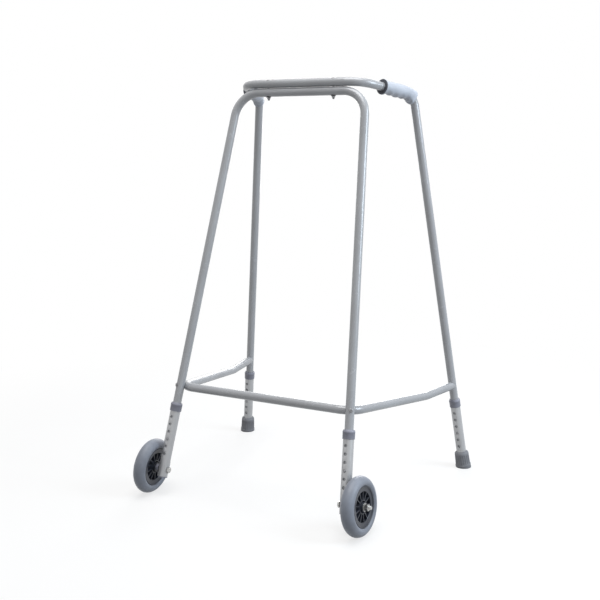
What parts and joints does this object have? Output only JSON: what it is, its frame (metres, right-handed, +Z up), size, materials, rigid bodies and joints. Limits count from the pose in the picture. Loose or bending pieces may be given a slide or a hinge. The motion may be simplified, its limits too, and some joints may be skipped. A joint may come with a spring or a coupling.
{
  "type": "wheeled walker",
  "caption": "Wheeled walking frame of bent tube with two front wheels, two rubber rear feet, finger handgrips and sliding leg extensions with snap buttons.",
  "frame": {"origin": "on the floor, under the middle of the walker's bounding box", "axes": "+Z up, +Y to the user's side where the handles end, +X to the walker's side with the right wheel"},
  "size_m": [0.659, 0.5692, 0.927],
  "materials": {
    "frame_metal": "satin silver grey",
    "sleeve_metal": "bright drawn",
    "zinc": "bright zinc",
    "spring_steel": "plain",
    "grey_plastic": "moulded",
    "dark_plastic": "moulded",
    "black_plastic": "moulded",
    "foot_rubber": "matt",
    "tyre_rubber": "matt",
    "grip_rubber": "soft matt"
  },
  "bodies": {
    "frame": {"front_frame_tube": "frame_metal", "handle_frame_tube": "frame_metal", "lower_brace_tube": "frame_metal", "left_handgrip": "grip_rubber", "left_rail_bolt": "zinc", "left_rail_washer": "dark_plastic", "left_rail_nut": "zinc", "left_brace_front_bolt": "zinc", "left_brace_front_nut": "zinc", "left_brace_rear_screw": "zinc", "left_brace_end_plug": "dark_plastic", "left_front_button_spring": "spring_steel", "left_rear_button_spring": "spring_steel", "right_handgrip": "grip_rubber", "right_rail_bolt": "zinc", "right_rail_washer": "dark_plastic", "right_rail_nut": "zinc", "right_brace_front_bolt": "zinc", "right_brace_front_nut": "zinc", "right_brace_rear_screw": "zinc", "right_brace_end_plug": "dark_plastic", "right_front_button_spring": "spring_steel", "right_rear_button_spring": "spring_steel"},
    "left_front_leg": {"left_front_leg_extension": "sleeve_metal", "left_front_extension_collar": "grey_plastic", "left_front_extension_plug": "grey_plastic", "left_axle_bolt": "zinc", "left_axle_spacer": "grey_plastic", "left_axle_washer": "zinc", "left_axle_nut": "zinc"},
    "left_rear_leg": {"left_rear_leg_extension": "sleeve_metal", "left_rear_extension_collar": "grey_plastic", "left_rear_foot": "foot_rubber"},
    "left_wheel": {"left_tyre": "tyre_rubber", "left_wheel_hub": "black_plastic", "left_hub_bush": "grey_plastic"},
    "left_front_button": {"left_front_snap_button": "zinc"},
    "left_rear_button": {"left_rear_snap_button": "zinc"},
    "right_front_leg": {"right_front_leg_extension": "sleeve_metal", "right_front_extension_collar": "grey_plastic", "right_front_extension_plug": "grey_plastic", "right_axle_bolt": "zinc", "right_axle_spacer": "grey_plastic", "right_axle_washer": "zinc", "right_axle_nut": "zinc"},
    "right_rear_leg": {"right_rear_leg_extension": "sleeve_metal", "right_rear_extension_collar": "grey_plastic", "right_rear_foot": "foot_rubber"},
    "right_wheel": {"right_tyre": "tyre_rubber", "right_wheel_hub": "black_plastic", "right_hub_bush": "grey_plastic"},
    "right_front_button": {"right_front_snap_button": "zinc"},
    "right_rear_button": {"right_rear_snap_button": "zinc"}
  },
  "joints": [
    {"name": "left_front_leg_slide", "type": "slide", "parent": "frame", "child": "left_front_leg", "axis": [-0.0795, -0.2739, -0.9585], "range_m": [-0.017, 0.051], "deforming": ["left_front_snap_button"]},
    {"name": "left_rear_leg_slide", "type": "slide", "parent": "frame", "child": "left_rear_leg", "axis": [-0.1191, 0.0971, -0.9881], "range_m": [-0.017, 0.051], "deforming": ["left_rear_snap_button"]},
    {"name": "left_wheel_spin", "type": "hinge", "parent": "left_front_leg", "child": "left_wheel", "pos_m": [-0.26141, -0.22211, 0.0623], "axis": [0.995, 0.0369, -0.0931], "continuous": true},
    {"name": "left_front_button_press", "type": "slide", "parent": "frame", "child": "left_front_button", "axis": [-0.0609, 0.961, -0.2696], "range_m": [0, 0.0034], "stiffness_N_per_m": 2000, "springref_m": -0.001, "deforming": ["left_front_button_spring"]},
    {"name": "left_rear_button_press", "type": "slide", "parent": "frame", "child": "left_rear_button", "axis": [0.0116, 0.9953, 0.0964], "range_m": [0, 0.0034], "stiffness_N_per_m": 2000, "springref_m": -0.001, "deforming": ["left_rear_button_spring"]},
    {"name": "right_front_leg_slide", "type": "slide", "parent": "frame", "child": "right_front_leg", "axis": [0.0795, -0.2739, -0.9585], "range_m": [-0.017, 0.051], "deforming": ["right_front_snap_button"]},
    {"name": "right_rear_leg_slide", "type": "slide", "parent": "frame", "child": "right_rear_leg", "axis": [0.1191, 0.0971, -0.9881], "range_m": [-0.017, 0.051], "deforming": ["right_rear_snap_button"]},
    {"name": "right_wheel_spin", "type": "hinge", "parent": "right_front_leg", "child": "right_wheel", "pos_m": [0.26141, -0.22211, 0.0623], "axis": [0.995, -0.0369, 0.0931], "continuous": true},
    {"name": "right_front_button_press", "type": "slide", "parent": "frame", "child": "right_front_button", "axis": [0.0609, 0.961, -0.2696], "range_m": [0, 0.0034], "stiffness_N_per_m": 2000, "springref_m": -0.001, "deforming": ["right_front_button_spring"]},
    {"name": "right_rear_button_press", "type": "slide", "parent": "frame", "child": "right_rear_button", "axis": [-0.0116, 0.9953, 0.0964], "range_m": [0, 0.0034], "stiffness_N_per_m": 2000, "springref_m": -0.001, "deforming": ["right_rear_button_spring"]}
  ]
}
